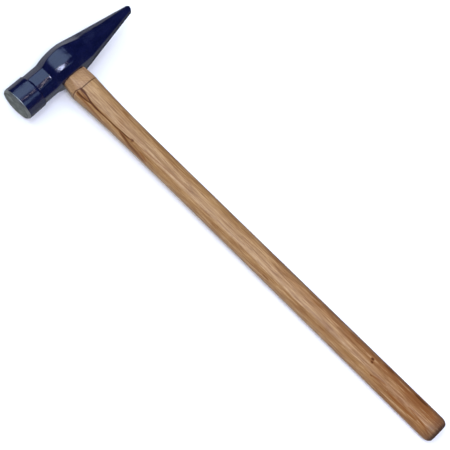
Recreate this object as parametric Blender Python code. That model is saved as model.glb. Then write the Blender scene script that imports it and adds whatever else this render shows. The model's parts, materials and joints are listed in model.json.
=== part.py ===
"""Cross peen hammer: a forged steel head wedged on an oval hickory handle.

Every piece is modelled in the hammer's own axes: +X along the handle from the head to the butt,
+Y along the head from the striking face to the peen, and +Z out of one side. The middle of the eye
is at the origin. A parent empty then lays the whole hammer on its side, on its cheek, its poll and
its butt. Lengths are in metres.
"""

import math
from collections import namedtuple

import bmesh
import bpy
import numpy as np
from mathutils import Matrix

# Head, along its own length.
FACE_REACH = 0.0721  # middle of the eye to the middle of the striking face
PEEN_REACH = 0.1066  # middle of the eye to the peen's edge
POLL_LENGTH = 0.0277  # striking face to the back rim of the poll
POLL_DIAMETER = 0.0425  # behind the face's bevel
POLL_BACK_DIAMETER = 0.0420
POLL_LEAN = 0.035  # rise over run by which face and rim lean out of square, towards the handle
FACE_FLAT_RADIUS = 0.0080  # the level middle of the crowned face
FACE_CROWN_RADIUS = 0.1500
FACE_BEVEL = 0.0018  # across the bare steel bevel round the face
FACE_BEVEL_DEPTH = 0.0023
POLL_RIM_RADIUS = 0.0014  # rounding of the poll's back rim
POLL_COVE = 0.0034  # length of the slope from the back rim down into the neck

# Head, its sections across. A section is a rectangle with chamfered corners: its height runs along
# the handle, and its flats are what the chamfers leave of the top and of the side.
Section = namedtuple("Section", "height width top_flat side_flat")
NECK = Section(0.0370, 0.0366, 0.0150, 0.0152)
BOSS_START = Section(0.0378, 0.0446, 0.0236, 0.0174)
BOSS_MIDDLE = Section(0.0390, 0.0508, 0.0304, 0.0208)
BOSS_END = Section(0.0386, 0.0490, 0.0272, 0.0188)
PEEN_ROOT = Section(0.0344, 0.0322, 0.0160, 0.0130)
PEEN_TIP = Section(0.0076, 0.0126, 0.0068, 0.0034)

# Head, where those sections lie, from the middle of the eye.
NECK_END = -0.0230
BOSS_START_AT = -0.0172
BOSS_MIDDLE_AT = 0.0015
BOSS_END_AT = 0.0125
PEEN_ROOT_AT = 0.0325
EDGE_ROUNDING = 0.0011  # how far from each long edge its rounding starts
SOFT_EDGE_ROUNDING = 0.0034  # the same for the side edges nearest the handle, which are ground softer
PEEN_END_ROUNDING = 0.45  # how much of its width the peen's edge loses where it rounds over
PEEN_END_SWEEP = math.radians(80)  # how far round the peen's edge goes before its narrow flat
RIM_SWEEP = math.radians(60)  # how far round the poll's back rim goes before the slope to the neck

# Eye, an oval hole that widens a little towards both of its mouths.
EYE_WAIST = (0.0290, 0.0222)  # length along the head, width across
EYE_LOWER_MOUTH = (0.0296, 0.0228)
EYE_UPPER_MOUTH = (0.0314, 0.0242)
EYE_WAIST_AT = 0.0060  # towards the handle from the middle of the head
EYE_POWER = 2.3  # 2 is an ellipse, more is squarer

# Handle, its sections: size along the head, then size across.
SHOULDER_SIZE = (0.0345, 0.0268)
THROAT_SIZE = (0.0288, 0.0228)
BUTT_SIZE = (0.0305, 0.0248)
SHOULDER_POWER = 2.9
BUTT_POWER = 2.15

# Handle, along its length from the middle of the head.
HANDLE_REACH = 0.5883  # to the butt's end
SHOULDER_AT = 0.0375
THROAT_AT = 0.1880
FLARE_POWER = 3.4  # how quickly the shoulder falls away towards the throat
OVAL_POWER = 0.5  # below 1 the section turns from squarish to oval sooner after the shoulder
BUTT_ROUNDING = 0.0090  # length of the rounding at the butt
BUTT_INSET = 0.0055  # how far that rounding draws in
TONGUE_PROUD = 0.0008  # how far the tongue and its wedges stand out of the eye

# Wedges, each a block that tapers downwards: thickness at its top, at its foot, and depth.
WOOD_WEDGE_TOP = 0.0052
WOOD_WEDGE_FOOT = 0.0016
WOOD_WEDGE_DEPTH = 0.0250
STEEL_WEDGE_TOP = 0.0030
STEEL_WEDGE_FOOT = 0.0008
STEEL_WEDGE_DEPTH = 0.0170
STEEL_WEDGE_WIDTH = 0.0130
STEEL_WEDGE_SPREAD = 0.0150  # between the middles of the two steel wedges

# Clearances.
EYE_GAP = 0.0003  # handle to eye
WEDGE_GAP = 0.0003  # wedges to each other and to the wood round them

# Fineness of the meshes.
POLL_STEPS = 56
OVAL_POINTS = 40
CROWN_RINGS = 6  # over each half of the boss and over the striking face
PEEN_END_RINGS = 5
RIM_RINGS = 3
FLARE_RINGS = 8
FLARE_CROWDING = 1.7  # above 1 puts more of the flare's rings near the shoulder
SWELL_RINGS = 6
BUTT_RINGS = 6
CUTTER_OVERRUN = 0.006  # how far a cutter runs past the surface it cuts
CORNER_SHARE = 0.45  # the most of a side that the rounding of one corner may take
SHARP_EDGE = math.radians(30)  # shaded as an edge above this
MOST_ROLL = 0.3  # radians, bounds of the search for the resting pose
MOST_PITCH = 0.2
LEVELLING_STEPS = 50

HEAD_TOP = BOSS_MIDDLE.height / 2
TONGUE_TOP = HEAD_TOP + TONGUE_PROUD


# Scene, collections and materials.


def clear_scene():
    for old in list(bpy.data.objects):
        bpy.data.objects.remove(old, do_unlink=True)


def new_collection(name, hidden=False):
    collection = bpy.data.collections.new(name)
    bpy.context.scene.collection.children.link(collection)
    collection.hide_render = hidden
    return collection


def principled(name, colour, roughness, metallic=0.0):
    material = bpy.data.materials.new(name)
    material.use_nodes = True
    shader = material.node_tree.nodes["Principled BSDF"]
    shader.inputs["Base Color"].default_value = (*colour, 1.0)
    shader.inputs["Roughness"].default_value = roughness
    shader.inputs["Metallic"].default_value = metallic
    return material


def add_object(name, mesh, collection, material=None):
    piece = bpy.data.objects.new(name, mesh)
    collection.objects.link(piece)
    if material:
        mesh.materials.append(material)
    return piece


def as_cutter(piece):
    piece.hide_render = True
    piece.display_type = "WIRE"
    return piece


def add_boolean(piece, other, operation):
    modifier = piece.modifiers.new(f"{operation.lower()} {other.name}", "BOOLEAN")
    modifier.operation = operation
    modifier.solver = "EXACT"
    modifier.object = other


# Outlines and lofts.


def mix(first, second, share):
    """The values between two tuples, a share of the way from the first to the second."""
    return tuple(a + (b - a) * share for a, b in zip(first, second))


def rounded_corners(corners, reaches):
    """The outline with each corner replaced by three points of a curve that starts its reach away."""
    outline = []
    for index, (corner, reach) in enumerate(zip(corners, reaches)):
        before = corners[index - 1]
        after = corners[(index + 1) % len(corners)]
        ends = []
        for other in (before, after):
            side = math.dist(corner, other)
            ends.append(mix(corner, other, min(reach / side, CORNER_SHARE)))
        middle = mix(mix(ends[0], ends[1], 0.5), corner, 0.5)
        outline += [ends[0], middle, ends[1]]
    return outline


def chamfered_outline(section):
    """A section of the head as (x, z) points, with its two side edges nearest the handle softer."""
    half_height, half_width, half_top, half_side = (size / 2 for size in section)
    quarter = [(half_height, half_top), (half_side, half_width)]
    corners = []
    for x_sign, z_sign in ((1, 1), (-1, 1), (-1, -1), (1, -1)):
        signed = [(x * x_sign, z * z_sign) for x, z in quarter]
        corners += signed if x_sign * z_sign > 0 else signed[::-1]
    reaches = []
    for x, z in corners:
        soft = x > 0 and abs(z) == half_width
        reaches.append(SOFT_EDGE_ROUNDING if soft else EDGE_ROUNDING)
    return rounded_corners(corners, reaches)


def oval_outline(size, power, count=OVAL_POINTS):
    """A rounded section of the handle or the eye as (y, z) points."""
    outline = []
    for index in range(count):
        angle = 2 * math.pi * index / count
        across = math.copysign(abs(math.cos(angle)) ** (2 / power), math.cos(angle))
        out = math.copysign(abs(math.sin(angle)) ** (2 / power), math.sin(angle))
        outline.append((size[0] / 2 * across, size[1] / 2 * out))
    return outline


def loft(name, rings):
    """A closed mesh through rings of equally many points, capped at both ends."""
    mesh = bpy.data.meshes.new(name)
    shape = bmesh.new()
    rows = [[shape.verts.new(point) for point in ring] for ring in rings]
    for first, second in zip(rows, rows[1:]):
        for index in range(len(first)):
            after = (index + 1) % len(first)
            shape.faces.new((first[index], first[after], second[after], second[index]))
    shape.faces.new(rows[0])
    shape.faces.new(rows[-1])
    bmesh.ops.recalc_face_normals(shape, faces=shape.faces)
    shape.to_mesh(mesh)
    shape.free()
    mesh.shade_smooth()
    mesh.set_sharp_from_angle(angle=SHARP_EDGE)
    return mesh


# Head.


def crown(middle, end, share):
    """A section that leaves the middle one level and curves down to the end one."""
    return Section(*mix(middle, end, share**2))


def head_section(y):
    """The forging's section at a place along the head."""
    if y <= NECK_END:
        return NECK
    if y <= BOSS_START_AT:
        share = (y - NECK_END) / (BOSS_START_AT - NECK_END)
        return Section(*mix(NECK, BOSS_START, share))
    if y <= BOSS_MIDDLE_AT:
        return crown(BOSS_MIDDLE, BOSS_START, (BOSS_MIDDLE_AT - y) / (BOSS_MIDDLE_AT - BOSS_START_AT))
    if y <= BOSS_END_AT:
        return crown(BOSS_MIDDLE, BOSS_END, (y - BOSS_MIDDLE_AT) / (BOSS_END_AT - BOSS_MIDDLE_AT))
    if y <= PEEN_ROOT_AT:
        share = (y - BOSS_END_AT) / (PEEN_ROOT_AT - BOSS_END_AT)
        return Section(*mix(BOSS_END, PEEN_ROOT, share))
    return Section(*mix(PEEN_ROOT, PEEN_TIP, (y - PEEN_ROOT_AT) / (PEEN_REACH - PEEN_ROOT_AT)))


def forging_rings():
    """Rings of the forging from inside the poll to the peen's rounded edge."""
    start = -FACE_REACH + POLL_LENGTH / 2
    edge_radius = PEEN_TIP.height / 2
    round_from = PEEN_REACH - edge_radius
    crown_places = [
        *np.linspace(BOSS_START_AT, BOSS_MIDDLE_AT, CROWN_RINGS),
        *np.linspace(BOSS_MIDDLE_AT, BOSS_END_AT, CROWN_RINGS)[1:],
    ]
    rings = []
    for y in (start, NECK_END, *crown_places, PEEN_ROOT_AT, round_from):
        outline = chamfered_outline(head_section(y))
        rings.append([(x, y, z) for x, z in outline])
    whole = chamfered_outline(head_section(round_from))
    for index in range(1, PEEN_END_RINGS + 1):
        angle = PEEN_END_SWEEP * index / PEEN_END_RINGS
        thin = math.cos(angle)
        narrow = 1 - PEEN_END_ROUNDING * (1 - thin)
        y = round_from + edge_radius * math.sin(angle)
        rings.append([(x * thin, y, z * narrow) for x, z in whole])
    return rings


def poll_profile():
    """The poll's radius at places along the head, from its foot in the neck to its face."""
    radius = POLL_DIAMETER / 2
    back_radius = POLL_BACK_DIAMETER / 2
    rim_at = -FACE_REACH + POLL_LENGTH
    profile = [(NECK.width / 2 - EDGE_ROUNDING, rim_at + POLL_COVE)]
    for angle in np.linspace(RIM_SWEEP, 0, RIM_RINGS + 1):
        inset = POLL_RIM_RADIUS * (1 - math.cos(angle))
        profile.append((back_radius - inset, rim_at - POLL_RIM_RADIUS * (1 - math.sin(angle))))
    crowned = []
    for across in np.linspace(radius - FACE_BEVEL, FACE_FLAT_RADIUS, CROWN_RINGS):
        fall = (across**2 - FACE_FLAT_RADIUS**2) / (2 * FACE_CROWN_RADIUS)
        crowned.append((across, -FACE_REACH + fall))
    return [*profile, (radius, crowned[0][1] + FACE_BEVEL_DEPTH), *crowned]


def poll_rings():
    """Rings of the poll, each a circle that leans out of square with the head."""
    rings = []
    for radius, y in poll_profile():
        ring = []
        for index in range(POLL_STEPS):
            angle = 2 * math.pi * index / POLL_STEPS
            x = radius * math.cos(angle)
            ring.append((x, y + POLL_LEAN * x, radius * math.sin(angle)))
        rings.append(ring)
    return rings


def eye_size(x):
    """The eye's length and width at a place along the handle, carried on straight past its mouths."""
    if x > EYE_WAIST_AT:
        return mix(EYE_WAIST, EYE_LOWER_MOUTH, (x - EYE_WAIST_AT) / (HEAD_TOP - EYE_WAIST_AT))
    return mix(EYE_WAIST, EYE_UPPER_MOUTH, (EYE_WAIST_AT - x) / (EYE_WAIST_AT + HEAD_TOP))


def eye_mesh(name, spare):
    """The eye's oval as a solid, grown by spare and run past both faces of the head."""
    past = HEAD_TOP + CUTTER_OVERRUN
    rings = []
    for x in (past, EYE_WAIST_AT, -past):
        outline = oval_outline([side + 2 * spare for side in eye_size(x)], EYE_POWER)
        rings.append([(x, y, z) for y, z in outline])
    return loft(name, rings)


def make_head(collection, cutters, material):
    head = add_object("hammer_head", loft("hammer_head", forging_rings()), collection, material)
    poll = as_cutter(add_object("poll", loft("poll", poll_rings()), cutters))
    eye = as_cutter(add_object("eye", eye_mesh("eye", 0.0), cutters))
    add_boolean(head, poll, "UNION")
    add_boolean(head, eye, "DIFFERENCE")
    return head, (poll, eye)


# Handle.


def grip_size(x):
    """The handle's size beyond its shoulder: a quick flare to the throat, then a slow swell."""
    if x < THROAT_AT:
        share = (x - SHOULDER_AT) / (THROAT_AT - SHOULDER_AT)
        return mix(THROAT_SIZE, SHOULDER_SIZE, (1 - share) ** FLARE_POWER)
    rounding_at = HANDLE_REACH - BUTT_ROUNDING
    return mix(THROAT_SIZE, BUTT_SIZE, (x - THROAT_AT) / (rounding_at - THROAT_AT))


def grip_power(x):
    """How square the section is, from the flat-sided shoulder to the oval butt."""
    share = (x - SHOULDER_AT) / (HANDLE_REACH - SHOULDER_AT)
    return SHOULDER_POWER + (BUTT_POWER - SHOULDER_POWER) * share**OVAL_POWER


def handle_rings():
    """Rings of the handle from the top of its tongue to its butt."""
    sections = []
    below_head = HEAD_TOP + EYE_GAP
    for x in (-TONGUE_TOP, EYE_WAIST_AT, below_head):
        size = [side - 2 * EYE_GAP for side in eye_size(x)]
        sections.append((x, size, EYE_POWER))
    shares = np.linspace(0, 1, FLARE_RINGS)[:-1] ** FLARE_CROWDING
    flare_places = SHOULDER_AT + (THROAT_AT - SHOULDER_AT) * shares
    rounding_at = HANDLE_REACH - BUTT_ROUNDING
    swell_places = np.linspace(THROAT_AT, rounding_at, SWELL_RINGS)
    for x in (*flare_places, *swell_places):
        sections.append((x, grip_size(x), grip_power(x)))
    for index in range(1, BUTT_RINGS + 1):
        angle = math.radians(90) * index / BUTT_RINGS
        x = rounding_at + BUTT_ROUNDING * math.sin(angle)
        inset = 2 * BUTT_INSET * (1 - math.cos(angle))
        sections.append((x, [side - inset for side in BUTT_SIZE], grip_power(x)))
    rings = []
    for x, size, power in sections:
        rings.append([(x, y, z) for y, z in oval_outline(size, power)])
    return rings


def wedge_block(name, collection, top, foot, depth, centre_y=0.0, spare=0.0, overrun=0.0):
    """A block whose top is level with the tongue's and which tapers to its foot.

    Top and foot are (size along the head, size across). A cutter is the same block grown by spare on
    every side and run on upwards, with its sides kept in line.
    """
    mesh = bpy.data.meshes.new(name)
    shape = bmesh.new()
    bmesh.ops.create_cube(shape, size=1.0)
    slope = [(wide - narrow) / depth for wide, narrow in zip(top, foot)]
    for vertex in shape.verts:
        above = vertex.co.x < 0
        size = top if above else foot
        past = overrun if above else -spare
        sides = [side + rise * past + 2 * spare for side, rise in zip(size, slope)]
        along = -TONGUE_TOP - overrun if above else -TONGUE_TOP + depth + spare
        vertex.co = (along, centre_y + vertex.co.y * sides[0], vertex.co.z * sides[1])
    shape.to_mesh(mesh)
    shape.free()
    return add_object(name, mesh, collection)


def wood_wedge_sizes():
    """The wooden wedge before its ends are cut to the tongue's oval."""
    length = EYE_UPPER_MOUTH[0] + 2 * CUTTER_OVERRUN
    return (length, WOOD_WEDGE_TOP), (length, WOOD_WEDGE_FOOT), WOOD_WEDGE_DEPTH


def steel_wedge_sizes():
    top = (STEEL_WEDGE_TOP, STEEL_WEDGE_WIDTH)
    return top, (STEEL_WEDGE_FOOT, STEEL_WEDGE_WIDTH), STEEL_WEDGE_DEPTH


def make_handle_and_wedges(collection, cutters, hickory, wedge_wood, steel):
    handle = add_object("handle", loft("handle", handle_rings()), collection, hickory)
    tongue = as_cutter(add_object("tongue", eye_mesh("tongue", -EYE_GAP), cutters))

    wood = wedge_block("wooden_wedge", collection, *wood_wedge_sizes())
    wood.data.materials.append(wedge_wood)
    add_boolean(wood, tongue, "INTERSECT")
    kerf = wedge_block("kerf", cutters, *wood_wedge_sizes(), spare=WEDGE_GAP, overrun=CUTTER_OVERRUN)
    add_boolean(handle, as_cutter(kerf), "DIFFERENCE")

    pieces = [handle, wood]
    helpers = [tongue, kerf]
    for side, sign in (("poll", -1), ("peen", 1)):
        centre_y = sign * STEEL_WEDGE_SPREAD / 2
        wedge = wedge_block(f"steel_wedge_{side}_side", collection, *steel_wedge_sizes(), centre_y)
        wedge.data.materials.append(steel)
        slot = wedge_block(
            f"slot_{side}_side", cutters, *steel_wedge_sizes(), centre_y, WEDGE_GAP, CUTTER_OVERRUN
        )
        add_boolean(handle, as_cutter(slot), "DIFFERENCE")
        add_boolean(wood, slot, "DIFFERENCE")
        pieces.append(wedge)
        helpers.append(slot)
    return pieces, helpers


# Resting pose.


def evaluated_points(piece):
    graph = bpy.context.evaluated_depsgraph_get()
    evaluated = piece.evaluated_get(graph)
    mesh = evaluated.to_mesh()
    points = np.array([vertex.co[:] for vertex in mesh.vertices])
    evaluated.to_mesh_clear()
    return points


def turn_to_level(low_a, low_b, most):
    """The angle, up to most either way, at which two supports are equally low, by halving the range."""
    lower = -most
    upper = most
    for _ in range(LEVELLING_STEPS):
        middle = (lower + upper) / 2
        if low_a(middle) < low_b(middle):
            upper = middle
        else:
            lower = middle
    return (lower + upper) / 2


def resting_matrix(head, handle):
    """Lays the hammer on cheek, poll and butt, with its middle over the origin and its foot at zero."""
    head_points = evaluated_points(head)
    handle_points = evaluated_points(handle)
    cheek = head_points[head_points[:, 1] > NECK_END]
    poll = head_points[head_points[:, 1] < -FACE_REACH + POLL_LENGTH]
    butt = handle_points[handle_points[:, 0] > HANDLE_REACH / 2]

    def lowest(points, roll, pitch):
        turn = np.array(Matrix.Rotation(pitch, 3, "Y") @ Matrix.Rotation(roll, 3, "X"))
        return (points @ turn.T)[:, 2].min()

    def pitch_for(roll):
        return turn_to_level(
            lambda pitch: lowest(butt, roll, pitch), lambda pitch: lowest(cheek, roll, pitch), MOST_PITCH
        )

    roll = turn_to_level(
        lambda turn: lowest(poll, turn, pitch_for(turn)),
        lambda turn: lowest(cheek, turn, pitch_for(turn)),
        MOST_ROLL,
    )
    turn = Matrix.Rotation(pitch_for(roll), 3, "Y") @ Matrix.Rotation(roll, 3, "X")
    turned_points = np.vstack([head_points, handle_points]) @ np.array(turn).T
    low = turned_points.min(axis=0)
    high = turned_points.max(axis=0)
    place = (-(low[0] + high[0]) / 2, -(low[1] + high[1]) / 2, -low[2])
    return Matrix.Translation(place) @ turn.to_4x4()


def main():
    clear_scene()
    hammer = new_collection("cross_peen_hammer")
    cutters = new_collection("cutters", hidden=True)
    enamel = principled("blue_enamel", (0.010, 0.014, 0.090), 0.18)
    hickory = principled("hickory", (0.47, 0.27, 0.13), 0.35)
    wedge_wood = principled("wedge_wood", (0.36, 0.20, 0.09), 0.55)
    steel = principled("wedge_steel", (0.45, 0.46, 0.47), 0.40, metallic=1.0)

    head, head_helpers = make_head(hammer, cutters, enamel)
    pieces, helpers = make_handle_and_wedges(hammer, cutters, hickory, wedge_wood, steel)

    bpy.context.view_layer.update()
    stand = bpy.data.objects.new("resting_hammer", None)
    hammer.objects.link(stand)
    stand.matrix_world = resting_matrix(head, pieces[0])
    for piece in (head, *head_helpers, *pieces, *helpers):
        piece.parent = stand


main()
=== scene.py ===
"""Cross peen hammer: the looks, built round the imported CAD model.

The pieces are modelled in the hammer's own axes: +X along the handle from the head to the butt, +Y
along the head from the striking face to the peen, +Z out of the side that faces up, with the middle
of the eye at the origin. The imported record's two mounts say where those axes lie in the frame.
Lengths are in metres.
"""

import json
import math
from collections import namedtuple

import bmesh
import bpy
from mathutils import Matrix, Vector


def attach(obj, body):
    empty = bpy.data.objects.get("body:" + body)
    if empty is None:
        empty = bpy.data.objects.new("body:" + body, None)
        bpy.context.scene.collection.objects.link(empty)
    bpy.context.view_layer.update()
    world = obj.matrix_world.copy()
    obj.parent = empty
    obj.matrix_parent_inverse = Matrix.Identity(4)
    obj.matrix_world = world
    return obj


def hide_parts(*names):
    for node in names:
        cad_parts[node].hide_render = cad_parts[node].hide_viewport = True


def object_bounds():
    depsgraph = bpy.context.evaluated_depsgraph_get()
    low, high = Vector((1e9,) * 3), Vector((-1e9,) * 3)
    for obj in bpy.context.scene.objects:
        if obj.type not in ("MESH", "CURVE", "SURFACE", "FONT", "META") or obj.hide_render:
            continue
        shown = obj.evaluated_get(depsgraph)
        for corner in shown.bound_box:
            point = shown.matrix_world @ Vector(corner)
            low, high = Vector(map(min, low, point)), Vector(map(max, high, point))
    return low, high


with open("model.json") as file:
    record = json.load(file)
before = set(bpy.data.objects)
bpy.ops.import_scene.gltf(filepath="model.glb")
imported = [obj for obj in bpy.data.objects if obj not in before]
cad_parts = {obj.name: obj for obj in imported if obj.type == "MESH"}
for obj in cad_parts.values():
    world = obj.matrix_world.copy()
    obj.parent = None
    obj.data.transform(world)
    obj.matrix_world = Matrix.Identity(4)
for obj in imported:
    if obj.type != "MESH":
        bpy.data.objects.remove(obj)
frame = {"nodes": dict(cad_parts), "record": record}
CAD_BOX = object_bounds()

# Head, along its own length.
FACE_REACH = 0.0721  # middle of the eye to the middle of the striking face
PEEN_REACH = 0.1066  # middle of the eye to the peen's edge
POLL_LENGTH = 0.0277
POLL_DIAMETER = 0.0425
POLL_BACK_DIAMETER = 0.0420
POLL_LEAN = 0.035  # rise over run by which face and rim lean out of square, towards the handle
FACE_FLAT_RADIUS = 0.0080  # the level middle of the crowned face
FACE_CROWN_RADIUS = 0.1500
FACE_BEVEL = 0.0018
FACE_BEVEL_DEPTH = 0.0023
FACE_EDGE = POLL_DIAMETER / 2 - FACE_BEVEL
BEVEL_SOFTENING = 0.0005  # how far from each of the bevel's two edges its rounding starts
CROWN_TANGENT = 0.002  # a step down the crown's slope at its edge
POLL_RIM_RADIUS = 0.0014
POLL_RIM_SWEEP = math.radians(60)
POLL_COVE = 0.0034  # length of the slope from the back rim down into the neck
POLL_COVE_HOLLOW = 0.0005

# Head, its sections across, each a rectangle with chamfered corners, whose height runs along the
# handle. Its flats are what the chamfers leave of the top and of the side.
Section = namedtuple("Section", "height width top_flat side_flat")
NECK = Section(0.0370, 0.0366, 0.0150, 0.0152)
BOSS_START = Section(0.0378, 0.0446, 0.0236, 0.0174)
BOSS_MIDDLE = Section(0.0390, 0.0508, 0.0304, 0.0208)
BOSS_END = Section(0.0386, 0.0490, 0.0272, 0.0188)
PEEN_ROOT = Section(0.0344, 0.0322, 0.0160, 0.0130)
PEEN_TIP = Section(0.0076, 0.0126, 0.0068, 0.0034)

# Head, where those sections lie, from the middle of the eye.
NECK_END = -0.0230
BOSS_START_AT = -0.0172
BOSS_MIDDLE_AT = 0.0015
BOSS_END_AT = 0.0125
PEEN_ROOT_AT = 0.0325

# Head, its softened edges and the low ridges that forging left across it.
CREASE_SOFTENING = 0.0015  # length over which a crease is rounded, to each side of it
EDGE_ROUNDING = 0.0011
SOFT_EDGE_CUT = 0.0030  # width taken off the side edges nearest the handle, which are ground softer
CORNER_SHARE = 0.45  # the most of a side that the rounding of one corner may take
PEEN_END_ROUNDING = 0.45  # how much of its width the peen's edge loses where it rounds over
PEEN_END_SWEEP = math.radians(80)
RIDGES_AT = (0.0092, 0.0128, 0.0325)
RIDGE_HEIGHT = 0.00016
RIDGE_REACH = 0.0005

# Eye, an oval hole that widens a little towards both of its mouths.
EYE_WAIST = (0.0290, 0.0222)  # length along the head, width across
EYE_LOWER_MOUTH = (0.0296, 0.0228)
EYE_UPPER_MOUTH = (0.0314, 0.0242)
EYE_WAIST_AT = 0.0060
EYE_POWER = 2.3  # 2 is an ellipse, more is squarer
EYE_GAP = 0.0003

# Handle, its sections: size along the head, then size across.
SHOULDER_SIZE = (0.0345, 0.0268)
THROAT_SIZE = (0.0288, 0.0228)
BUTT_SIZE = (0.0305, 0.0248)
SHOULDER_POWER = 2.9
BUTT_POWER = 2.15
OVAL_POWER = 0.5  # below 1 the section turns from squarish to oval sooner after the shoulder

# Handle, along its length from the middle of the head.
HANDLE_REACH = 0.5883
SHOULDER_AT = 0.0375
THROAT_AT = 0.1880
FLARE_POWER = 3.4  # how quickly the shoulder falls away towards the throat
BUTT_ROUNDING = 0.0090
BUTT_INSET = 0.0055
TONGUE_PROUD = 0.0008
HEAD_TOP = BOSS_MIDDLE.height / 2
BELOW_HEAD = HEAD_TOP + EYE_GAP
ROUNDING_AT = HANDLE_REACH - BUTT_ROUNDING

# Facets of the taper into the eye: the direction each faces, in degrees round the handle from the
# peen's side, and where it runs out into the grip.
TAPER_FACETS = (
    (0.0, 0.0370), (80.0, 0.0397), (136.0, 0.0384), (180.0, 0.0368),
    (224.0, 0.0384), (270.0, 0.0400), (316.0, 0.0384),
)
TAPER_END = 0.0430  # past every one of those ends
FACING_LEAST = 0.05  # a facet turned further away than this can't limit a point
TOUCH_SEARCH = 30  # degrees to each side in which to look for the point that a facet touches

# Wedges.
WEDGE_ROUNDING = 0.0002
SLOT_GAP = 0.00025
SLOT_OVERRUN = 0.004
WELD_WITHIN = 1e-6
FLAT_WITHIN = math.radians(1)

# Fineness of the meshes.
HEAD_STEP = 0.0006
FLAT_STEPS = 3
CORNER_STEPS = 4
CREASE_STEPS = 4
PEEN_END_RINGS = 14
ROUND_SIDES = 96
RIM_STEPS = 8
BARREL_STEPS = 12
BEVEL_STEPS = 4
CROWN_STEPS = 10
HANDLE_STEP = 0.0020
HANDLE_SIDES = 112
TAPER_STEP = 0.0006
TAPER_RINGS = 37
TONGUE_END_STEP = 0.0005
BUTT_RINGS = 16
CUTTER_OVERRUN = 0.006
SHARP_EDGE = math.radians(24)  # shaded as an edge above this

# Camera: where it stands round a point on the handle's axis, and how it is rolled, in degrees.
LOOK_AT = 0.2638
VIEW_AZIMUTH = 31.04
VIEW_ELEVATION = 68.33
VIEW_ROLL = 14.70
VIEW_DISTANCE = 1.5561
LENS = 112.0
SENSOR_WIDTH = 36.0

# Soft panels of light: name, middle and size in the hammer's axes, strength for each square metre,
# colour, and turn about the head's length in degrees.
PANELS = (
    ("overhead_panel", (-1.06, 0.10, 1.75), (2.56, 1.30), 9.5, (0.50, 0.69, 1.00), 0.0),
    ("key_strip", (0.655, 0.335, 1.75), (0.09, 0.20), 50.0, (1.00, 0.86, 0.88), 0.0),
    ("ridge_panel", (0.80, -0.27, 1.75), (0.40, 0.54), 110.0, (0.66, 0.72, 1.00), 0.0),
    ("handle_strip", (0.08, -0.36, 1.72), (0.24, 0.30), 52.0, (1.00, 0.97, 0.94), 0.0),
    ("side_glow", (1.38, 0.40, 1.30), (0.50, 0.80), 7.5, (0.42, 0.62, 1.00), 50.0),
)
ROOM = (1.0, 0.96, 0.90)
ROOM_STRENGTH = 0.63
TABLE = (0.88, 0.92, 1.0)
TABLE_STRENGTH = 0.74
FLOOR = (0.90, 0.90, 0.90)
FLOOR_REACH = 6.0


# Frame, camera and stage.


def mount(name):
    for entry in frame["record"]["mounts"]:
        if entry["name"] == name:
            return Vector(entry["pos_m"]), Vector(entry["axis"]).normalized()
    raise KeyError(name)


def hammer_axes():
    """The matrix that takes the hammer's own axes into the frame."""
    butt, along = mount("butt_end")
    face, _ = mount("striking_face")
    eye = butt - along * HANDLE_REACH
    head_axis = (eye - face).normalized()
    side = along.cross(head_axis).normalized()
    head_axis = side.cross(along)
    matrix = Matrix((along, head_axis, side)).transposed().to_4x4()
    matrix.translation = eye
    return matrix


HAMMER = hammer_axes()


def add_camera():
    data = bpy.data.cameras.new("camera")
    data.lens = LENS
    data.sensor_width = SENSOR_WIDTH
    camera = bpy.data.objects.new("camera", data)
    bpy.context.scene.collection.objects.link(camera)
    azimuth = math.radians(VIEW_AZIMUTH)
    elevation = math.radians(VIEW_ELEVATION)
    level = math.cos(elevation)
    back = Vector((math.sin(azimuth) * level, -math.cos(azimuth) * level, math.sin(elevation)))
    turn = (-back).to_track_quat("-Z", "Y").to_matrix() @ Matrix.Rotation(math.radians(VIEW_ROLL), 3, "Z")
    camera.matrix_world = turn.to_4x4()
    camera.location = HAMMER @ Vector((LOOK_AT, 0.0, 0.0)) + back * VIEW_DISTANCE
    bpy.context.scene.camera = camera


def add_panel(name, middle, size, strength, colour, turn):
    data = bpy.data.lights.new(name, "AREA")
    data.shape = "RECTANGLE"
    data.size, data.size_y = size
    data.energy = strength * size[0] * size[1]
    data.color = colour
    light = bpy.data.objects.new(name, data)
    bpy.context.scene.collection.objects.link(light)
    light.matrix_world = HAMMER @ Matrix.Translation(middle) @ Matrix.Rotation(math.radians(turn), 4, "Y")


def add_world():
    """A pale room. Reflections see it dark, but for the pale table below, which fades straight down."""
    world = bpy.data.worlds.new("studio")
    world.use_nodes = True
    n = Nodes(world.node_tree)
    n.tree.nodes.clear()
    x, y, z = n.split(n.new("TexCoord").outputs["Generated"])
    near_side = n.ramp(n.math("SUBTRACT", x, y), -0.45, 0.05, 0.0, 0.62)
    table = n.math("MAXIMUM", n.ramp(z, -0.80, -0.45, 0.10, 1.0), near_side)
    glow = n.math("MULTIPLY", table, n.ramp(z, -0.16, -0.02, TABLE_STRENGTH, 0.03))
    either = n.new("MixShader")
    n.feed(either.inputs[0], n.new("LightPath").outputs["Is Glossy Ray"])
    n.feed(either.inputs[1], n.background(ROOM, ROOM_STRENGTH))
    n.feed(either.inputs[2], n.background(TABLE, glow))
    n.feed(n.new("OutputWorld").inputs["Surface"], either.outputs[0])
    bpy.context.scene.world = world


def add_floor():
    """The floor. Reflections look past it at the world's table."""
    mesh = bpy.data.meshes.new("floor")
    low = CAD_BOX[0].z
    signs = ((-1, -1), (1, -1), (1, 1), (-1, 1))
    mesh.from_pydata([(x * FLOOR_REACH, y * FLOOR_REACH, low) for x, y in signs], [], [(0, 1, 2, 3)])
    floor = bpy.data.objects.new("floor", mesh)
    bpy.context.scene.collection.objects.link(floor)
    surface = Surface("pale_floor")
    mesh.materials.append(surface.finish(Base_Color=(*FLOOR, 1.0), Roughness=0.9, Specular_IOR_Level=0.0))
    floor.visible_glossy = False


# Node helpers.


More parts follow.
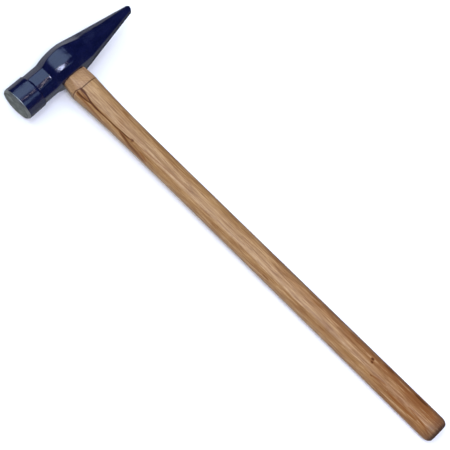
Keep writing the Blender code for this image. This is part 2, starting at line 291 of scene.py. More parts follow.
class Nodes:
    """Short calls for the nodes of one tree."""

    def __init__(self, tree):
        self.tree = tree

    def new(self, kind):
        return self.tree.nodes.new("ShaderNode" + kind)

    def feed(self, socket, value):
        if isinstance(value, bpy.types.NodeSocket):
            self.tree.links.new(value, socket)
        elif value is not None:
            socket.default_value = value

    def background(self, colour, strength):
        node = self.new("Background")
        node.inputs["Color"].default_value = (*colour, 1.0)
        self.feed(node.inputs["Strength"], strength)
        return node.outputs[0]

    def math(self, operation, first, second=None, third=None, clamp=False):
        node = self.new("Math")
        node.operation = operation
        node.use_clamp = clamp
        for socket, value in zip(node.inputs, (first, second, third)):
            self.feed(socket, value)
        return node.outputs[0]

    def split(self, vector=None):
        node = self.new("SeparateXYZ")
        self.feed(node.inputs[0], vector or self.place)
        return node.outputs

    def join(self, x, y, z):
        node = self.new("CombineXYZ")
        for socket, value in zip(node.inputs, (x, y, z)):
            self.feed(socket, value)
        return node.outputs[0]

    def scaled(self, scale, vector=None, offset=(0.0, 0.0, 0.0)):
        node = self.new("Mapping")
        self.feed(node.inputs["Vector"], vector or self.place)
        node.inputs["Scale"].default_value = scale
        node.inputs["Location"].default_value = offset
        return node.outputs[0]

    def noise(self, vector, detail=3.0, roughness=0.5):
        node = self.new("TexNoise")
        self.feed(node.inputs["Vector"], vector)
        node.inputs["Scale"].default_value = 1.0
        node.inputs["Detail"].default_value = detail
        node.inputs["Roughness"].default_value = roughness
        return node.outputs["Fac"]

    def ramp(self, value, low, high, start=0.0, end=1.0, smooth=True):
        """Value's range from low to high, eased to start and end."""
        node = self.new("MapRange")
        node.interpolation_type = "SMOOTHSTEP" if smooth else "LINEAR"
        for socket, number in zip(node.inputs, (value, low, high, start, end)):
            self.feed(socket, number)
        return node.outputs[0]

    def curve(self, value, points):
        """A smooth curve through (value, result) points, both from 0 to 1."""
        node = self.new("FloatCurve")
        self.feed(node.inputs["Value"], value)
        line = node.mapping.curves[0]
        line.points[0].location = points[0]
        line.points[1].location = points[-1]
        for point in points[1:-1]:
            line.points.new(*point)
        node.mapping.update()
        return node.outputs[0]

    def mix(self, share, first, second):
        node = self.new("Mix")
        node.data_type = "RGBA"
        self.feed(node.inputs["Factor"], share)
        for name, colour in (("A", first), ("B", second)):
            socket = next(s for s in node.inputs if s.name == name and s.type == "RGBA")
            self.feed(socket, (*colour, 1.0) if isinstance(colour, tuple) else colour)
        return next(s for s in node.outputs if s.type == "RGBA")

    def bump(self, height, distance, strength=1.0, under=None):
        node = self.new("Bump")
        self.feed(node.inputs["Height"], height)
        node.inputs["Distance"].default_value = distance
        node.inputs["Strength"].default_value = strength
        self.feed(node.inputs["Normal"], under)
        return node.outputs[0]


class Surface(Nodes):
    """A material's nodes, placed by the hammer's axes."""

    def __init__(self, name):
        self.material = bpy.data.materials.new(name)
        self.material.use_nodes = True
        super().__init__(self.material.node_tree)
        self.shader = self.tree.nodes["Principled BSDF"]
        self.place = self.hammer_place()

    def hammer_place(self):
        """The point in the hammer's axes, worked out from the frame's."""
        into = HAMMER.inverted()
        node = self.new("Mapping")
        self.feed(node.inputs["Vector"], self.new("TexCoord").outputs["Object"])
        node.inputs["Rotation"].default_value = into.to_euler()
        node.inputs["Location"].default_value = into.translation
        return node.outputs[0]

    def finish(self, **inputs):
        for name, value in inputs.items():
            self.feed(self.shader.inputs[name.replace("_", " ")], value)
        return self.material


# Materials.


def blue_enamel():
    """Thick glossy navy enamel over a forging: slow waves, orange peel, and small chips and dust."""
    n = Surface("blue_enamel")
    waves = n.noise(n.scaled((120.0, 45.0, 120.0)), detail=2.0)
    peel = n.noise(n.scaled((900.0, 500.0, 900.0)), detail=2.0)
    specks = n.noise(n.scaled((1500.0, 1500.0, 1500.0)), detail=2.0, roughness=0.7)
    dust = n.ramp(specks, 0.64, 0.78)
    cloud = n.noise(n.scaled((150.0, 60.0, 150.0), offset=(3.0, 1.0, 2.0)), detail=5.0, roughness=0.6)
    tone = n.ramp(cloud, 0.35, 0.65)
    base = n.mix(tone, (0.0010, 0.0023, 0.021), (0.0020, 0.0036, 0.030))
    base = n.mix(n.math("MULTIPLY", dust, 0.22), base, (0.10, 0.11, 0.16))
    satin = n.ramp(cloud, 0.3, 0.7, 0.14, 0.24, smooth=False)
    rough = n.math("ADD", satin, n.math("MULTIPLY", dust, 0.2))
    normal = n.bump(waves, 0.0011, 0.6)
    normal = n.bump(peel, 0.00006, 0.8, under=normal)
    return n.finish(Base_Color=base, Roughness=rough, Normal=normal)


def bare_steel():
    """Ground steel of the striking face: fine scratches, dim oxide blotches, a darker band inside its edge
    and a paler edge and bevel.
    """
    n = Surface("bare_steel")
    x, y, z = n.split()
    scratch = n.noise(n.scaled((2600.0, 400.0, 220.0)), detail=4.0, roughness=0.7)
    cross = n.noise(n.scaled((300.0, 400.0, 1900.0), offset=(7.0, 0.0, 3.0)), detail=3.0)
    blotch = n.noise(n.scaled((170.0, 170.0, 170.0)), detail=5.0, roughness=0.62)
    radius = n.math("SQRT", n.math("ADD", n.math("POWER", x, 2.0), n.math("POWER", z, 2.0)))
    # Paler over the face's outermost 0.8 mm and its bevel.
    pale_rim = n.ramp(radius, FACE_EDGE - 0.0008, FACE_EDGE)
    base = n.mix(n.ramp(blotch, 0.40, 0.64), (0.150, 0.170, 0.155), (0.330, 0.355, 0.330))
    # Darker in a band just inside the face's edge.
    inner_dark_band = n.ramp(radius, FACE_EDGE - 0.0026, FACE_EDGE - 0.0012, 0.0, 0.55)
    base = n.mix(inner_dark_band, base, (0.060, 0.066, 0.068))
    base = n.mix(n.math("MULTIPLY", pale_rim, 0.55), base, (0.36, 0.37, 0.35))
    rough = n.math("ADD", n.ramp(blotch, 0.3, 0.7, 0.30, 0.46), n.math("MULTIPLY", scratch, 0.12))
    normal = n.bump(n.math("ADD", scratch, cross), 0.00003, 0.5)
    return n.finish(Base_Color=base, Roughness=rough, Metallic=0.85, Normal=normal)


# The curves that draw a figure line run from 0 to 1, which stands for these widths in millimetres.
LINE_SPAN = 40.0  # across the handle, centred on its axis
HALF_WIDTH_SPAN = 2.0
LINE_FADE = 2.7  # half widths from a line's middle to where it has faded out
LINE_CORE = 0.75  # the share of the fade after which a line is at its darkest
SPOT_CORE = 0.35  # the share of a spot's size inside which it is at its darkest


def streak(n, x, y, points):
    """How dark a figure line is, from points of (x, y, half width), in millimetres."""
    start, end = points[0][0], points[-1][0]
    along = n.ramp(x, start / 1000, end / 1000, smooth=False)
    shares = [(point[0] - start) / (end - start) for point in points]
    middle = n.curve(along, [(share, point[1] / LINE_SPAN + 0.5) for share, point in zip(shares, points)])
    half = n.curve(along, [(share, point[2] / HALF_WIDTH_SPAN) for share, point in zip(shares, points)])
    across = n.math("MULTIPLY_ADD", y, 1000 / LINE_SPAN, 0.5)
    off = n.math("ABSOLUTE", n.math("SUBTRACT", across, middle))
    fade = n.math("MULTIPLY", half, HALF_WIDTH_SPAN * LINE_FADE / LINE_SPAN)
    line = n.math("SUBTRACT", 1.0, n.math("DIVIDE", off, fade), clamp=True)
    started = n.math("GREATER_THAN", x, start / 1000)
    inside = n.math("MULTIPLY", started, n.math("LESS_THAN", x, end / 1000))
    return n.math("MULTIPLY", n.ramp(line, 0.0, LINE_CORE), inside)


def spot(n, x, y, at, size):
    """How dark a soft spot is, such as a pin knot, a stain or a patch of painted shade, from places in
    millimetres.
    """
    along = n.math("DIVIDE", n.math("SUBTRACT", x, at[0] / 1000), size[0] / 1000)
    across = n.math("DIVIDE", n.math("SUBTRACT", y, at[1] / 1000), size[1] / 1000)
    off = n.math("SQRT", n.math("ADD", n.math("POWER", along, 2.0), n.math("POWER", across, 2.0)))
    return n.ramp(off, 1.0, SPOT_CORE)


def darkest(n, parts):
    """The strongest of several (weight, darkness) pairs."""
    result = 0.0
    for weight, part in parts:
        result = n.math("MAXIMUM", result, n.math("MULTIPLY", part, weight))
    return result


# Figure lines on the side that faces up: a weight, and points of (x, y, half width) in millimetres.
FIGURE = (
    (1.00, (
        (37.0, -7.6, 0.3), (43.0, -7.3, 0.9), (51.0, -8.3, 0.6), (58.0, -9.9, 0.6),
        (65.0, -10.5, 0.6), (76.0, -10.5, 0.4), (86.0, -10.3, 0.3), (98.0, -10.0, 0.4),
        (108.0, -9.4, 0.5), (116.0, -9.0, 0.5), (124.0, -8.1, 0.3),
    )),
    (0.95, (
        (36.0, -12.0, 0.5), (43.0, -12.5, 0.7), (51.0, -12.0, 0.6), (58.0, -11.0, 0.4),
        (64.0, -10.5, 0.2),
    )),
    (0.60, (
        (40.0, -8.8, 0.2), (47.0, -9.9, 0.5), (54.0, -10.4, 0.3),
    )),
    (0.55, (
        (38.0, -13.8, 0.3), (60.0, -14.2, 0.5), (80.0, -14.6, 0.2),
    )),
    (0.75, (
        (104.0, -10.2, 0.2), (112.0, -11.2, 0.8), (122.0, -12.6, 0.7), (136.0, -13.6, 0.6),
        (154.0, -14.6, 0.2),
    )),
    (0.40, (
        (138.0, -10.6, 0.2), (144.0, -11.6, 0.6), (152.0, -13.2, 0.2),
    )),
    (0.35, (
        (126.0, -8.0, 0.2), (144.0, -6.6, 0.4), (170.0, -4.6, 0.5), (213.0, -3.4, 0.2),
    )),
    (0.45, (
        (494.0, -9.0, 0.3), (500.0, -7.2, 0.5), (514.0, -5.6, 0.2),
    )),
    (0.50, (
        (518.0, -9.0, 0.2), (532.0, -9.6, 0.9), (548.0, -9.8, 0.7), (562.0, -9.2, 0.3),
    )),
    (0.55, (
        (546.0, -5.4, 0.2), (558.0, -6.2, 0.6), (570.0, -8.2, 0.7), (581.0, -10.8, 0.3),
    )),
)

# Knots and stains of that side, and long patches near y = 10 mm that are painted shade along its peen-side
# edge: a weight, then middle and size, each (x, y) in millimetres.
SPOTS = (
    (0.95, (123.5, -8.0), (3.4, 2.4)), (1.00, (483.6, 5.0), (3.2, 2.4)), (0.95, (485.3, 1.9), (3.0, 2.0)),
    (0.75, (494.4, -8.9), (2.6, 0.9)), (0.45, (97.0, -0.2), (8.0, 0.8)), (0.50, (100.0, -2.6), (9.0, 0.8)),
    (0.40, (101.0, -5.4), (8.0, 0.7)), (0.45, (94.0, 9.4), (9.0, 1.2)), (0.60, (338.0, -12.2), (8.0, 0.9)),
    (0.50, (422.0, -9.9), (8.0, 0.8)), (0.50, (330.0, 9.5), (14.0, 1.5)), (0.55, (392.0, 9.8), (14.0, 1.4)),
    (0.50, (400.0, 6.0), (12.0, 1.0)), (0.60, (452.0, 9.6), (11.0, 1.6)), (0.75, (504.0, 10.6), (13.0, 2.6)),
    (0.90, (551.0, 10.6), (16.0, 2.8)),
)


def wood_figure_and_edge_shade(n, x, y, z):
    """The dark lines, knots and stains of the side that faces up, and painted shade along its peen-side
    edge.
    """
    parts = [(weight, streak(n, x, y, points)) for weight, points in FIGURE]
    parts += [(weight, spot(n, x, y, at, size)) for weight, at, size in SPOTS]
    return n.math("MULTIPLY", darkest(n, parts), n.ramp(z, 0.001, 0.004))


def wood_tones(n, x, wavy, lifted, fine):
    """The handle's colour before any figure: straw to reddish brown, in long dashes."""
    bands = n.noise(n.scaled((4.0, 140.0, 120.0), lifted), detail=3.0, roughness=0.6)
    dashes = n.noise(n.scaled((32.0, 600.0, 400.0), lifted, (4.0, 9.0, 1.0)), detail=4.0, roughness=0.66)
    threads = n.noise(n.scaled((60.0, 1000.0, 900.0), lifted, (1.0, 2.0, 5.0)), detail=3.0, roughness=0.7)
    far = n.ramp(x, 0.24, 0.46)
    side = n.ramp(wavy, -0.007, 0.010)
    base = n.mix(n.ramp(bands, 0.34, 0.64), (0.372, 0.220, 0.094), (0.276, 0.146, 0.052))
    warm = n.math("MULTIPLY_ADD", n.math("MULTIPLY", far, side), 0.72, n.math("MULTIPLY", far, 0.10))
    warm = n.math("ADD", warm, n.ramp(x, 0.460, 0.560, 0.0, 0.42), clamp=True)
    base = n.mix(warm, base, (0.205, 0.076, 0.022))
    red = n.math("MULTIPLY", n.ramp(dashes, 0.50, 0.64), n.math("MULTIPLY_ADD", warm, 0.42, 0.55))
    base = n.mix(red, base, (0.160, 0.056, 0.016))
    pale = n.math("MULTIPLY", n.ramp(dashes, 0.47, 0.36), 0.55)
    base = n.mix(pale, base, (0.500, 0.318, 0.155))
    base = n.mix(n.ramp(threads, 0.50, 0.66, 0.0, 0.60), base, (0.165, 0.076, 0.032))
    return n.mix(n.ramp(fine, 0.42, 0.75, 0.0, 0.30), base, (0.250, 0.120, 0.052))


def shoulder_marks_and_crease_shade(n, x, y, wood):
    """Rasp marks on the taper into the eye, and a dark line of painted shade in the crease where the taper
    meets the grip.
    """
    turned = n.join(n.math("ADD", x, y), n.math("SUBTRACT", x, y), 0.0)
    rasp = n.noise(n.scaled((90.0, 1100.0, 1.0), turned), detail=3.0, roughness=0.7)
    taper = n.ramp(x, 0.0390, 0.0375)
    wood = n.mix(n.math("MULTIPLY", taper, 0.38), wood, (0.430, 0.262, 0.145))
    marks = n.math("MULTIPLY", n.ramp(rasp, 0.48, 0.62, 0.0, 0.50), taper)
    wood = n.mix(marks, wood, (0.165, 0.076, 0.034))
    # Painted shade: a dark line along the crease where the taper meets the grip.
    crease_at = n.ramp(y, -0.0125, -0.0065, 0.0365, 0.0394, smooth=False)
    crease = n.ramp(n.math("ABSOLUTE", n.math("SUBTRACT", x, crease_at)), 0.0010, 0.0003)
    return n.mix(n.math("MULTIPLY", crease, 0.90), wood, (0.070, 0.024, 0.009))


def hickory():
    """Lacquered hickory: long fine grain, redder and darker towards the butt, with a dark figure, and
    painted shade along the peen-side edge, in the crease at the shoulder and round the butt's end.
    """
    n = Surface("hickory")
    x, y, z = n.split()
    wander = n.noise(n.scaled((9.0, 30.0, 30.0)), detail=2.0)
    wavy = n.math("ADD", y, n.math("MULTIPLY", n.math("SUBTRACT", wander, 0.5), 0.007))
    lifted = n.join(x, wavy, z)
    fine = n.noise(n.scaled((22.0, 1500.0, 1300.0), lifted), detail=4.0, roughness=0.65)
    pores = n.noise(n.scaled((60.0, 2600.0, 2600.0), lifted), detail=2.0, roughness=0.5)
    wood = wood_tones(n, x, wavy, lifted, fine)
    # The figure also carries the painted shade along the peen-side edge.
    figure = n.math("MULTIPLY", wood_figure_and_edge_shade(n, x, y, z), n.ramp(fine, 0.30, 0.60, 0.64, 1.0))
    halo = n.ramp(figure, 0.0, 0.45)
    wood = n.mix(n.math("MULTIPLY", halo, 0.62), wood, (0.190, 0.064, 0.016))
    wood = n.mix(n.math("MULTIPLY", n.ramp(figure, 0.35, 0.90), 0.92), wood, (0.062, 0.019, 0.007))
    wood = n.mix(n.ramp(pores, 0.60, 0.72, 0.0, 0.35), wood, (0.160, 0.070, 0.030))
    wood = shoulder_marks_and_crease_shade(n, x, y, wood)
    # Painted shade: darker over the butt's last 18 mm and nearly black over its end, the dark rim round the
    # butt.
    wood = n.mix(n.ramp(x, 0.570, 0.582, 0.0, 0.45), wood, (0.082, 0.044, 0.030))
    wood = n.mix(n.ramp(x, 0.5815, 0.5870, 0.0, 0.85), wood, (0.030, 0.016, 0.012))
    # Painted shade: darker towards the handle's peen-side edge from y = 7.5 mm out, more so past x = 0.2 m.
    rim = n.math("MULTIPLY", n.ramp(y, 0.0075, 0.0125, 0.0, 0.62), n.ramp(x, 0.20, 0.44, 0.45, 1.0))
    wood = n.mix(rim, wood, (0.100, 0.044, 0.020))
    rough = n.math("ADD", n.ramp(fine, 0.3, 0.7, 0.26, 0.38), n.math("MULTIPLY", figure, 0.08))
    shine = n.math("MULTIPLY_ADD", figure, -0.12, n.ramp(x, 0.40, 0.54, 0.24, 0.07))
    normal = n.bump(n.math("ADD", fine, n.math("MULTIPLY", pores, 0.6)), 0.00006, 0.6)
    return n.finish(Base_Color=wood, Roughness=rough, Normal=normal, Specular_IOR_Level=shine)


def wedge_wood():
    """Rough unvarnished wood, darker where the end grain took up dirt."""
    n = Surface("wedge_wood")
    grain = n.noise(n.scaled((60.0, 900.0, 900.0)), detail=4.0, roughness=0.65)
    ends = n.noise(n.scaled((300.0, 2200.0, 2200.0)), detail=3.0)
    wood = n.mix(n.ramp(grain, 0.3, 0.7), (0.360, 0.200, 0.090), (0.220, 0.110, 0.045))
    wood = n.mix(n.ramp(ends, 0.55, 0.7, 0.0, 0.5), wood, (0.110, 0.050, 0.022))
    normal = n.bump(ends, 0.00015, 0.6)
    return n.finish(Base_Color=wood, Roughness=n.ramp(grain, 0.3, 0.7, 0.5, 0.75), Normal=normal)


def wedge_steel():
    """Grey steel with brownish blotches and fine scratches."""
    n = Surface("wedge_steel")
    blotch = n.noise(n.scaled((500.0, 500.0, 500.0)), detail=5.0, roughness=0.65)
    scratch = n.noise(n.scaled((900.0, 4000.0, 900.0)), detail=3.0)
    base = n.mix(n.ramp(blotch, 0.35, 0.7), (0.36, 0.36, 0.37), (0.20, 0.17, 0.15))
    rough = n.ramp(blotch, 0.3, 0.7, 0.35, 0.6)
    return n.finish(Base_Color=base, Metallic=1.0, Roughness=rough, Normal=n.bump(scratch, 0.00004, 0.5))


# Meshes.


def mix(first, second, share):
    return tuple(a + (b - a) * share for a, b in zip(first, second))


def loft(name, rings):
    """A closed mesh through rings of equally many points, capped at both ends."""
    mesh = bpy.data.meshes.new(name)
    shape = bmesh.new()
    rows = [[shape.verts.new(point) for point in ring] for ring in rings]
    for first, second in zip(rows, rows[1:]):
        for index in range(len(first)):
            after = (index + 1) % len(first)
            shape.faces.new((first[index], first[after], second[after], second[index]))
    shape.faces.new(rows[0])
    shape.faces.new(rows[-1])
    bmesh.ops.recalc_face_normals(shape, faces=shape.faces)
    shape.to_mesh(mesh)
    shape.free()
    return mesh


def add_piece(name, mesh, nodes, materials):
    """A piece that stands for CAD nodes, from a mesh in the hammer's axes."""
    mesh.transform(HAMMER)
    piece = bpy.data.objects.new(name, mesh)
    bpy.context.scene.collection.objects.link(piece)
    for material in materials:
        mesh.materials.append(material)
    mesh.shade_smooth()
    mesh.set_sharp_from_angle(angle=SHARP_EDGE)
    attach(piece, "root")
    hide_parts(*nodes)


def combined(first, second, operation):
    """The mesh that a Boolean of two meshes leaves."""
    pair = [bpy.data.objects.new(mesh.name, mesh) for mesh in (first, second)]
    for one in pair:
        bpy.context.scene.collection.objects.link(one)
    modifier = pair[0].modifiers.new(operation, "BOOLEAN")
    modifier.operation = operation
    modifier.solver = "EXACT"
    modifier.object = pair[1]
    bpy.context.view_layer.update()
    evaluated = pair[0].evaluated_get(bpy.context.evaluated_depsgraph_get())
    result = bpy.data.meshes.new_from_object(evaluated)
    for one in pair:
        bpy.data.objects.remove(one)
    return result


def head_section(y):
    """The forging's section at a place along the head, with sharp creases."""
    if y <= NECK_END:
        return NECK
    if y <= BOSS_START_AT:
        return mix(NECK, BOSS_START, (y - NECK_END) / (BOSS_START_AT - NECK_END))
    if y <= BOSS_MIDDLE_AT:
        share = (BOSS_MIDDLE_AT - y) / (BOSS_MIDDLE_AT - BOSS_START_AT)
        return mix(BOSS_MIDDLE, BOSS_START, share**2)
    if y <= BOSS_END_AT:
        share = (y - BOSS_MIDDLE_AT) / (BOSS_END_AT - BOSS_MIDDLE_AT)
        return mix(BOSS_MIDDLE, BOSS_END, share**2)
    if y <= PEEN_ROOT_AT:
        return mix(BOSS_END, PEEN_ROOT, (y - BOSS_END_AT) / (PEEN_ROOT_AT - BOSS_END_AT))
    return mix(PEEN_ROOT, PEEN_TIP, (y - PEEN_ROOT_AT) / (PEEN_REACH - PEEN_ROOT_AT))


def soft_section(y):
    """The section with its creases rounded over a short length."""
    steps = range(-CREASE_STEPS, CREASE_STEPS + 1)
    sections = [head_section(y + CREASE_SOFTENING * step / CREASE_STEPS) for step in steps]
    height, width, top_flat, side_flat = (sum(values) / len(values) for values in zip(*sections))
    for ridge in RIDGES_AT:
        width += RIDGE_HEIGHT * math.exp(-(((y - ridge) / RIDGE_REACH) ** 2))
    return height, width, top_flat, side_flat


def chamfered_outline(section):
    """A section of the head as (x, z) points, with rounded corners and divided flats."""
    half_height, half_width, half_top, half_side = (size / 2 for size in section)
    quarter = [(half_height, half_top), (half_side, half_width)]
    top, side = quarter
    cut = SOFT_EDGE_CUT / math.dist(top, side)
    across = mix(side, (-half_side, half_width), SOFT_EDGE_CUT / section[3])
    softened = [top, mix(side, top, cut), across]
    corners = []
    for x_sign, z_sign in ((1, 1), (-1, 1), (-1, -1), (1, -1)):
        signed = [(x * x_sign, z * z_sign) for x, z in (softened if x_sign > 0 else quarter)]
        corners += signed if x_sign * z_sign > 0 else signed[::-1]
    arcs = []
    for index, corner in enumerate(corners):
        ends = []
        for other in (corners[index - 1], corners[(index + 1) % len(corners)]):
            ends.append(mix(corner, other, min(EDGE_ROUNDING / math.dist(corner, other), CORNER_SHARE)))
        shares = [step / CORNER_STEPS for step in range(CORNER_STEPS + 1)]
        arcs.append([mix(mix(ends[0], corner, s), mix(corner, ends[1], s), s) for s in shares])
    outline = []
    for arc, following in zip(arcs, arcs[1:] + arcs[:1]):
        outline += arc
        outline += [mix(arc[-1], following[0], step / FLAT_STEPS) for step in range(1, FLAT_STEPS)]
    return outline


def forging_mesh():
    """The neck, the boss round the eye and the peen, from inside the poll to the peen's edge."""
    start = -FACE_REACH + POLL_LENGTH / 2
    edge_radius = PEEN_TIP.height / 2
    round_from = PEEN_REACH - edge_radius
    count = round((round_from - start) / HEAD_STEP)
    rings = []
    for index in range(count + 1):
        y = start + (round_from - start) * index / count
        outline = chamfered_outline(soft_section(y))
        rings.append([(x, y, z) for x, z in outline])
    whole = chamfered_outline(head_section(round_from))
    for index in range(1, PEEN_END_RINGS + 1):
        angle = PEEN_END_SWEEP * index / PEEN_END_RINGS
        thin = math.cos(angle)
        narrow = 1 - PEEN_END_ROUNDING * (1 - thin)
        y = round_from + edge_radius * math.sin(angle)
        rings.append([(x * thin, y, z * narrow) for x, z in whole])
    return loft("forging", rings)


def rounded_corner(before, corner, after):
    start = mix(corner, before, BEVEL_SOFTENING / math.dist(corner, before))
    end = mix(corner, after, BEVEL_SOFTENING / math.dist(corner, after))
    shares = [step / BEVEL_STEPS for step in range(BEVEL_STEPS + 1)]
    return [mix(mix(start, corner, share), mix(corner, end, share), share) for share in shares]


def crown_fall(radius):
    """How far back the crowned face lies at a radius."""
    return (radius**2 - FACE_FLAT_RADIUS**2) / (2 * FACE_CROWN_RADIUS)


def rim_point(rim_at, angle):
    """A point of the rounded back rim, as its radius and its place along the head."""
    inset = POLL_RIM_RADIUS * (1 - math.cos(angle))
    return POLL_BACK_DIAMETER / 2 - inset, rim_at - POLL_RIM_RADIUS * (1 - math.sin(angle))


def poll_profile():
    """The poll's radius at places along the head, from its foot in the neck to its face."""
    rim_at = -FACE_REACH + POLL_LENGTH
    foot_radius = NECK.width / 2 - EDGE_ROUNDING
    foot_at = rim_at + POLL_COVE
    lip, lip_at = rim_point(rim_at, POLL_RIM_SWEEP)
    profile = []
    for step in range(RIM_STEPS):
        share = step / RIM_STEPS
        hollow = POLL_COVE_HOLLOW * math.sin(math.pi * share)
        radius = foot_radius + (lip - foot_radius) * share - hollow
        profile.append((radius, foot_at + (lip_at - foot_at) * share))
    for step in range(RIM_STEPS + 1):
        profile.append(rim_point(rim_at, POLL_RIM_SWEEP * (1 - step / RIM_STEPS)))
    crown_at = -FACE_REACH + crown_fall(FACE_EDGE)
    bevel_top = (POLL_DIAMETER / 2, crown_at + FACE_BEVEL_DEPTH)
    bevel_foot = (FACE_EDGE, crown_at)
    barrel = (POLL_BACK_DIAMETER / 2, rim_at - POLL_RIM_RADIUS)
    for step in range(1, BARREL_STEPS):
        profile.append(mix(barrel, bevel_top, step / BARREL_STEPS))
    profile += rounded_corner(barrel, bevel_top, bevel_foot)
    inner = (FACE_EDGE - CROWN_TANGENT, crown_at - CROWN_TANGENT * FACE_EDGE / FACE_CROWN_RADIUS)
    profile += rounded_corner(bevel_top, bevel_foot, inner)
    for step in range(1, CROWN_STEPS + 1):
        radius = FACE_EDGE + (FACE_FLAT_RADIUS - FACE_EDGE) * step / CROWN_STEPS
        profile.append((radius, -FACE_REACH + crown_fall(radius)))
    return profile


def poll_mesh():
    """The round poll, turned about the head's length and then leant."""
    rings = []
    for radius, y in poll_profile():
        ring = []
        for index in range(ROUND_SIDES):
            angle = 2 * math.pi * index / ROUND_SIDES
            x = radius * math.cos(angle)
            ring.append((x, y + POLL_LEAN * x, radius * math.sin(angle)))
        rings.append(ring)
    return loft("poll", rings)


def eye_size(x):
    """The eye's length and width at a height in the head, narrowest at its waist."""
    if x > EYE_WAIST_AT:
        return mix(EYE_WAIST, EYE_LOWER_MOUTH, (x - EYE_WAIST_AT) / (HEAD_TOP - EYE_WAIST_AT))
    return mix(EYE_WAIST, EYE_UPPER_MOUTH, (EYE_WAIST_AT - x) / (EYE_WAIST_AT + HEAD_TOP))


def oval_radius(size, power, angle):
    """How far a rounded section reaches from its middle in a direction."""
    across = abs(math.cos(angle)) / (size[0] / 2)
    out = abs(math.sin(angle)) / (size[1] / 2)
    return (across**power + out**power) ** (-1 / power)


def polar_ring(x, reach, sides):
    """A ring round the handle's axis that reaches out as far as reach says for each angle."""
    ring = []
    for index in range(sides):
        angle = 2 * math.pi * index / sides
        radius = reach(angle)
        ring.append((x, radius * math.cos(angle), radius * math.sin(angle)))
    return ring


def eye_mesh():
    """The eye as a solid that sticks out of the head at both ends."""
    past = HEAD_TOP + CUTTER_OVERRUN
    rings = []
    for x in (-past, EYE_WAIST_AT, past):
        size = eye_size(x)
        rings.append(polar_ring(x, lambda angle: oval_radius(size, EYE_POWER, angle), ROUND_SIDES))
    return loft("eye", rings)


def add_head(enamel, steel):
    """The head in one piece: enamelled, with bare steel on the striking face and its bevel."""
    mesh = combined(forging_mesh(), poll_mesh(), "UNION")
    mesh = combined(mesh, eye_mesh(), "DIFFERENCE")
    crown_depth = FACE_EDGE**2 / (2 * FACE_CROWN_RADIUS)
    steel_ends = -FACE_REACH + crown_depth + FACE_BEVEL_DEPTH + BEVEL_SOFTENING
    bare = [face.center.y - POLL_LEAN * face.center.x < steel_ends for face in mesh.polygons]
    add_piece("hammer_head_forging", mesh, ["hammer_head"], [enamel, steel])
    mesh.polygons.foreach_set("material_index", [int(face) for face in bare])


# Handle.


def grip_size(x):
    """The grip's size along the head and across it, at a place along the handle."""
    if x < THROAT_AT:
        share = max(x - SHOULDER_AT, 0.0) / (THROAT_AT - SHOULDER_AT)
        return mix(THROAT_SIZE, SHOULDER_SIZE, (1 - share) ** FLARE_POWER)
    return mix(THROAT_SIZE, BUTT_SIZE, min((x - THROAT_AT) / (ROUNDING_AT - THROAT_AT), 1.0))


def grip_power(x):
    """How squarish the grip's section is, at a place along the handle."""
    share = max(x - SHOULDER_AT, 0.0) / (HANDLE_REACH - SHOULDER_AT)
    return SHOULDER_POWER + (BUTT_POWER - SHOULDER_POWER) * share**OVAL_POWER


def support(size, power, direction):
    """How far out a plane that faces a direction touches a rounded section."""
    best = 0.0
    for step in range(-TOUCH_SEARCH, TOUCH_SEARCH + 1):
        angle = direction + math.radians(step)
        best = max(best, oval_radius(size, power, angle) * math.cos(angle - direction))
    return best


def taper_reach(x, angle):
    """The rasped taper between the eye and the shoulder: flat facets that meet in clear edges."""
    reach = 1.0
    for facet, crease in TAPER_FACETS:
        direction = math.radians(facet)
        facing = math.cos(angle - direction)
        if facing <= FACING_LEAST:
            continue
        low = support(eye_size(BELOW_HEAD), EYE_POWER, direction) - EYE_GAP
        high = support(SHOULDER_SIZE, SHOULDER_POWER, direction)
        distance = low + (high - low) * (x - BELOW_HEAD) / (crease - BELOW_HEAD)
        reach = min(reach, distance / facing)
    return reach


def handle_mesh():
    """The handle's rings: its tongue in the eye, the rasped taper, the grip and the rounded butt."""
    rings = []
    for x in (-HEAD_TOP - TONGUE_PROUD, -HEAD_TOP, EYE_WAIST_AT, BELOW_HEAD - TONGUE_END_STEP):
        size = [side - 2 * EYE_GAP for side in eye_size(x)]
        rings.append(polar_ring(x, lambda angle: oval_radius(size, EYE_POWER, angle), HANDLE_SIDES))
    places = [BELOW_HEAD + index * TAPER_STEP for index in range(TAPER_RINGS)]
    length = ROUNDING_AT - places[-1]
    count = round(length / HANDLE_STEP)
    places += [places[-1] + length * index / count for index in range(1, count + 1)]
    for x in places:
        size = grip_size(x)
        power = grip_power(x)

        def reach(angle):
            grip = oval_radius(size, power, angle)
            return min(grip, taper_reach(x, angle)) if x < TAPER_END else grip

        rings.append(polar_ring(x, reach, HANDLE_SIDES))
    for index in range(1, BUTT_RINGS + 1):
        angle = math.pi / 2 * index / BUTT_RINGS
        x = ROUNDING_AT + BUTT_ROUNDING * math.sin(angle)
        inset = 2 * BUTT_INSET * (1 - math.cos(angle))
        size = [side - inset for side in BUTT_SIZE]
        power = grip_power(x)
        rings.append(polar_ring(x, lambda turn: oval_radius(size, power, turn), HANDLE_SIDES))
    return loft("handle", rings)


def add_handle(material):
    mesh = handle_mesh()
    for node in ("wooden_wedge", "steel_wedge_poll_side", "steel_wedge_peen_side"):
        mesh = combined(mesh, slot_mesh(node), "DIFFERENCE")
    add_piece("hickory_handle", mesh, ["handle"], [material])


# Wedges.


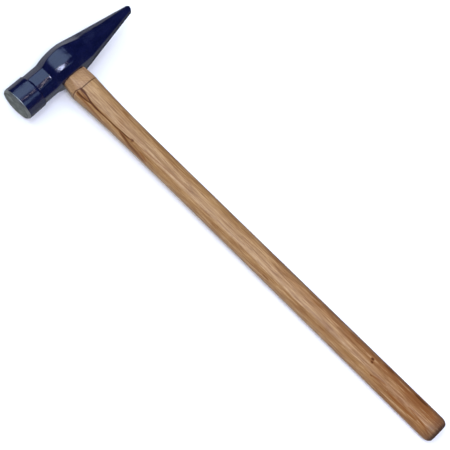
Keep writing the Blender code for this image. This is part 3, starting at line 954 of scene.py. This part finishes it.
def node_shape(node):
    """A CAD node's mesh in the hammer's axes."""
    shape = bmesh.new()
    shape.from_mesh(frame["nodes"][node].data)
    shape.transform(HAMMER.inverted())
    bmesh.ops.remove_doubles(shape, verts=shape.verts, dist=WELD_WITHIN)
    bmesh.ops.dissolve_limit(shape, angle_limit=FLAT_WITHIN, verts=shape.verts, edges=shape.edges)
    return shape


def slot_mesh(node):
    """A box round a wedge, which opens the kerf for it."""
    low, high = Vector((1, 1, 1)), Vector((-1, -1, -1))
    shape = node_shape(node)
    for vertex in shape.verts:
        low = Vector(map(min, low, vertex.co))
        high = Vector(map(max, high, vertex.co))
    shape.free()
    top = low.x - SLOT_OVERRUN
    box = bmesh.new()
    bmesh.ops.create_cube(box, size=1.0)
    for vertex in box.verts:
        share = vertex.co + Vector((0.5, 0.5, 0.5))
        vertex.co = (
            top + (high.x + SLOT_GAP - top) * share.x,
            low.y - SLOT_GAP + (high.y - low.y + 2 * SLOT_GAP) * share.y,
            low.z - SLOT_GAP + (high.z - low.z + 2 * SLOT_GAP) * share.z,
        )
    mesh = bpy.data.meshes.new("slot")
    box.to_mesh(mesh)
    box.free()
    return mesh


def add_wedge(name, node, material):
    """A wedge with its CAD node's shape and its edges just rounded."""
    shape = node_shape(node)
    bmesh.ops.bevel(
        shape, geom=shape.edges, offset=WEDGE_ROUNDING, segments=2, affect="EDGES", clamp_overlap=True
    )
    mesh = bpy.data.meshes.new(name)
    shape.to_mesh(mesh)
    shape.free()
    add_piece(name, mesh, [node], [material])


# Putting it together.


def main():
    bpy.context.scene.view_settings.view_transform = "Standard"
    add_camera()
    add_world()
    for panel in PANELS:
        add_panel(*panel)
    add_floor()
    add_head(blue_enamel(), bare_steel())
    add_handle(hickory())
    steel = wedge_steel()
    add_wedge("wooden_eye_wedge", "wooden_wedge", wedge_wood())
    add_wedge("steel_eye_wedge_poll_side", "steel_wedge_poll_side", steel)
    add_wedge("steel_eye_wedge_peen_side", "steel_wedge_peen_side", steel)


main()
